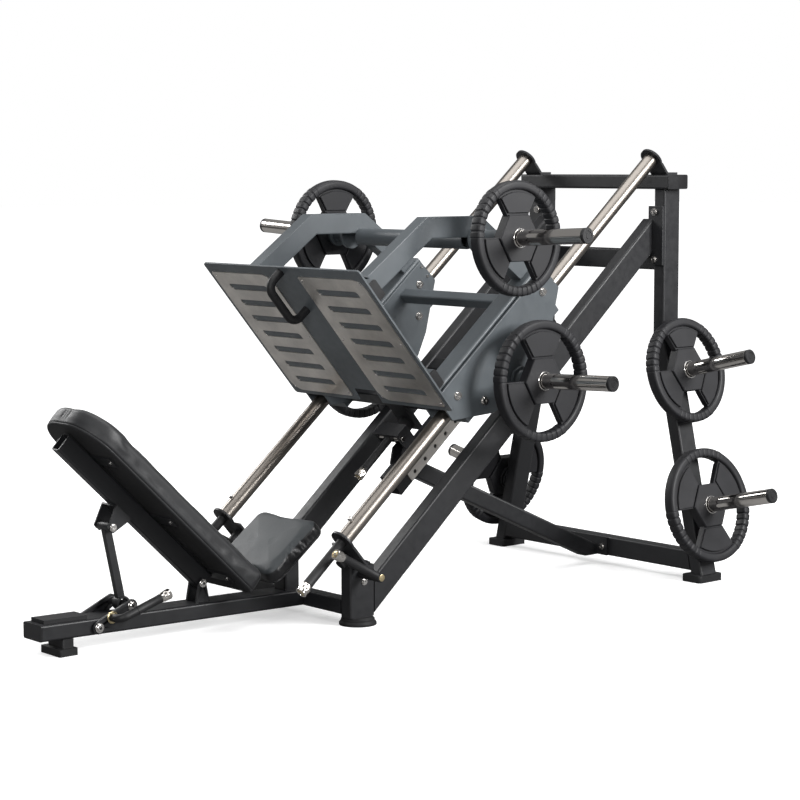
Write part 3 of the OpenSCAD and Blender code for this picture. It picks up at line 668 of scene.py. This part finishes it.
def stitches(name, body, matrix, size, radii, z, proud, pitch=5.5):
    """A row of short threads round a cushion's side panel."""
    loop = rounded_loop(*size, radii, -proud, 40, (260, 110))
    turned = matrix.to_3x3()
    bm = bmesh.new()
    travelled, last, start = 0.0, loop[0], None
    for p in loop[1:] + loop[:1]:
        travelled += (p - last).length
        if start is None and travelled >= pitch:
            start, travelled = p, 0.0
        elif start is not None and (p - start).length >= pitch * 0.62:
            along = (p - start).normalized()
            origin = matrix @ Vector((start.x * MM, start.y * MM, z * MM))
            m = basis(origin, turned @ Vector((0, 0, 1)), turned @ Vector((along.x, along.y, 0)))
            length = (p - start).length
            lathe(bm, [(0.05, 0), (0.45, 0.5), (0.5, length / 2), (0.45, length - 0.5),
                       (0.05, length)], m, 6)
            start, travelled = None, 0.0
        last = p
    return piece(name, bm, THREAD, body, 60)


# How far each cushion's underside lies from the bench's front end, square to its own face.
BACK_BOARD, SEAT_BOARD = 567, -381


def make_cushions():
    down = Vector((math.cos(BACK_ANGLE), 0, -math.sin(BACK_ANGLE)))
    out = Vector((math.sin(BACK_ANGLE), 0, math.cos(BACK_ANGLE)))
    back = basis(at(0, 0, 0) + out * BACK_BOARD * MM, down, out)
    size, radii = (-398, 425, 150), (120, 28)
    cushion("backrest_cushion", "backrest_pad", "backrest", back, size, radii,
            thick=72, crown=5, edge_r=20, materials=[BACK_VINYL, LINING], seam_z=9)
    stitches("backrest_stitches", "backrest", back, size, radii, z=14, proud=2.0)
    up = Vector((math.cos(SEAT_ANGLE), 0, math.sin(SEAT_ANGLE)))
    face = Vector((-math.sin(SEAT_ANGLE), 0, math.cos(SEAT_ANGLE)))
    seat = basis(at(0, 0, 0) + face * SEAT_BOARD * MM, up, face)
    size, radii = (708, 955, 150), (35, 35)
    # The face takes the lighter top colour, painted light on the lit top; the side takes the vinyl's
    # own dark colour.
    cushion("seat_cushion", "seat_pad", "frame", seat, size, radii,
            thick=53, crown=5, edge_r=24, materials=[SEAT_TOP_PAINTED_LIGHT, LINING, SEAT_SIDE], seam_z=8)
    stitches("seat_stitches", "frame", seat, size, radii, z=13, proud=2.0)


# ---------------------------------------------------------------- guide rods
def make_rods():
    """Ground and plated rods with chamfered ends, and the socket screw near each one's foot."""
    bm = bmesh.new()
    length, r, screw_s = 1818, 25, 62
    for sign in SIDES.values():
        along = basis(on_track(0, sign * ROD_Y, 0), (0, 1, 0), ALONG)
        lathe(bm, [(0.01, 0), (r - 1, 0), (r, 1), (r, length - 1), (r - 1, length), (0.01, length)],
              along, 128)
        screw = basis(on_track(screw_s, sign * ROD_Y, r - 2), (0, 1, 0), SQUARE)
        lathe(bm, [(0.01, 0), (5, 0), (5, 8), (7.4, 8), (8, 8.6), (8, 14.5), (6.8, 16), (3.6, 16),
                   (3.2, 14), (0.01, 14)], screw, 32, material=1)
    rods = piece("guide_rods_ground", bm, [ROD_CHROME, STEEL], "frame", 40)
    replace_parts(rods, "guide_rods")


# ---------------------------------------------------------------- small trim
def make_trim():
    """Rivets that hold the tread sheets, and the washered bolts of the backrest's linkage."""
    bm = bmesh.new()
    panel_s, top_n, sheet_y, rivet_y = 535, 647, 230, 143
    rivet = [(0.01, -0.5), (4.2, -0.5), (4.2, 0.3), (3.2, 1.1), (1.6, 1.4), (0.01, 1.4)]
    for side in (-1, 1):
        for y in (-rivet_y, rivet_y):
            for n in (-52, -308, -566):
                place = on_track(panel_s - 3, side * sheet_y + y, top_n + n)
                lathe(bm, rivet, basis(place, (0, 1, 0), -ALONG), 20)
    piece("tread_rivets", bm, STEEL, "carriage", 40)

    # Bolts of the backrest's linkage, on both sides: x, height, distance out, radius, body.
    bolts = {"toggle_crank": (307, 124, 60, 15, "toggle"), "toggle_pivot": (189, 72, 61, 15, "frame"),
             "hinge": (592, 152, 29, 13, "frame")}
    for name, (x, z, y, r, body) in bolts.items():
        bm = bmesh.new()
        for sign in SIDES.values():
            socket_bolt(bm, basis(at(x, sign * y, z), (1, 0, 0), (0, sign, 0)), r)
        # The second material, black plastic, is the sockets' painted shade.
        piece(name + "_bolts", bm, [STEEL, PLASTIC], body, 35)


# ---------------------------------------------------------------- CAD nodes that stay
SOFT_EDGES = {
    "foot_panel": 1.6, "tread_plates": 0.7, "side_plates": 1.4, "carriage_arches": 6.0,
    "beam_flanges": 1.6, "rod_brackets_top": 1.4, "rod_brackets_bottom": 1.4, "hinge_ears": 1.4,
    "stop_housing": 1.2, "toggle_link": 1.4, "recline_strut": 1.6, "backrest_frame": 1.2,
    "rubber_stops": 1.6, "frame_end_caps": 1.2, "panel_tube_caps": 1.4, "rear_feet": 2.0,
    "bench_foot": 2.0, "seat_support": 1.4, "rail_strip": 0.6, "diagonal_brace": 1.2,
    "rest_crossbar": 1.2, "bearing_blocks": 1.4,
}


def finish_cad_nodes():
    slot_of = {p["node"]: p["material_slot"] for p in frame["record"]["subparts"]}
    for name, obj in NODES.items():
        obj.data.materials.clear()
        obj.data.materials.append(BY_SLOT[slot_of[name]])
        for polygon in obj.data.polygons:
            polygon.material_index = 0
        if name in SOFT_EDGES:
            weld = obj.modifiers.new("weld", "WELD")
            weld.merge_threshold = 1e-5
            bevel = obj.modifiers.new("bevel", "BEVEL")
            bevel.width = SOFT_EDGES[name] * MM
            bevel.segments = 2
            bevel.limit_method = "ANGLE"
            bevel.angle_limit = math.radians(40)
            bevel.use_clamp_overlap = True


# ---------------------------------------------------------------- studio
ROOM_LIGHT = 0.24


def pale_floor():
    """White floor that stays white far from the lamps and takes a soft contact shadow."""
    mat, tree, shader, coords = nodes_of("pale_floor")
    shader.inputs["Base Color"].default_value = (0.88, 0.88, 0.88, 1)
    shader.inputs["Roughness"].default_value = 0.95
    shader.inputs["Specular IOR Level"].default_value = 0.0
    shader.inputs["Emission Color"].default_value = (1, 1, 1, 1)
    distance = tree.nodes.new("ShaderNodeVectorMath")
    distance.operation = "LENGTH"
    tree.links.new(coords, distance.inputs[0])
    tree.links.new(remap(tree, distance.outputs["Value"], 0.42, 1.0, 1.6, 4.5),
                   shader.inputs["Emission Strength"])
    dim = tree.nodes.new("ShaderNodeBsdfDiffuse")
    dim.inputs["Color"].default_value = (0.22, 0.22, 0.22, 1)
    mix = tree.nodes.new("ShaderNodeMixShader")
    out = next(n for n in tree.nodes if n.type == "OUTPUT_MATERIAL")
    tree.links.new(tree.nodes.new("ShaderNodeLightPath").outputs["Is Camera Ray"], mix.inputs["Fac"])
    tree.links.new(dim.outputs["BSDF"], mix.inputs[1])
    tree.links.new(shader.outputs["BSDF"], mix.inputs[2])
    tree.links.new(mix.outputs["Shader"], out.inputs["Surface"])
    return mat


def studio():
    bm = bmesh.new()
    bmesh.ops.create_grid(bm, x_segments=1, y_segments=1, size=60)
    mesh = bpy.data.meshes.new("floor")
    bm.to_mesh(mesh)
    bm.free()
    floor = bpy.data.objects.new("floor", mesh)
    bpy.context.scene.collection.objects.link(floor)
    mesh.materials.append(pale_floor())

    world = bpy.data.worlds.new("studio")
    bpy.context.scene.world = world
    world.use_nodes = True
    tree = world.node_tree
    background = tree.nodes["Background"]
    background.inputs["Color"].default_value = (1, 1, 1, 1)
    # The backdrop is white, and the room round the machine dim, so that metal keeps its contrast.
    is_camera = tree.nodes.new("ShaderNodeLightPath").outputs["Is Camera Ray"]
    tree.links.new(remap(tree, is_camera, ROOM_LIGHT, 1.0, 0, 1), background.inputs["Strength"])

    # Each lamp: name, place, what it points at, size in metres, watts.
    lights = [
        ("key", (2.3, -5.2, 2.9), (0.2, 0, 0.7), 2.2, 420),
        ("front", (-4.8, -3.4, 2.6), (-0.3, 0, 0.6), 1.6, 120),
        ("top", (0.2, -0.4, 4.6), (0.1, 0, 0.6), 4.2, 150),
        ("back", (-1.0, 4.4, 2.8), (0.2, 0, 0.8), 2.0, 120),
    ]
    for name, place, target, size, power in lights:
        light = bpy.data.lights.new(name, "AREA")
        light.shape = "SQUARE"
        light.size = size
        light.energy = power
        obj = bpy.data.objects.new(name, light)
        obj.location = place
        obj.rotation_euler = (Vector(target) - Vector(place)).to_track_quat("-Z", "Y").to_euler()
        bpy.context.scene.collection.objects.link(obj)

    camera = bpy.data.cameras.new("camera")
    camera.sensor_width = 36
    camera.lens = 98.5
    camera.clip_end = 200
    obj = bpy.data.objects.new("camera", camera)
    bpy.context.scene.collection.objects.link(obj)
    azimuth, elevation, roll = (math.radians(a) for a in (-40.82, 6.13, -0.11))
    level = math.cos(elevation)
    forward = Vector((-math.sin(azimuth) * level, math.cos(azimuth) * level, -math.sin(elevation)))
    obj.location = at(-3337, -5520, 1447.5)
    obj.rotation_mode = "QUATERNION"
    tilt = Matrix.Rotation(roll, 3, "Z").to_quaternion()
    obj.rotation_quaternion = forward.to_track_quat("-Z", "Y") @ tilt
    bpy.context.scene.camera = obj
    bpy.context.scene.view_settings.view_transform = "Standard"


studio()
finish_cad_nodes()
make_pegs_and_plates()
make_grab_handles()
make_release_levers()
make_catch_lever()
make_toggle_handle()
make_cushions()
make_rods()
make_trim()
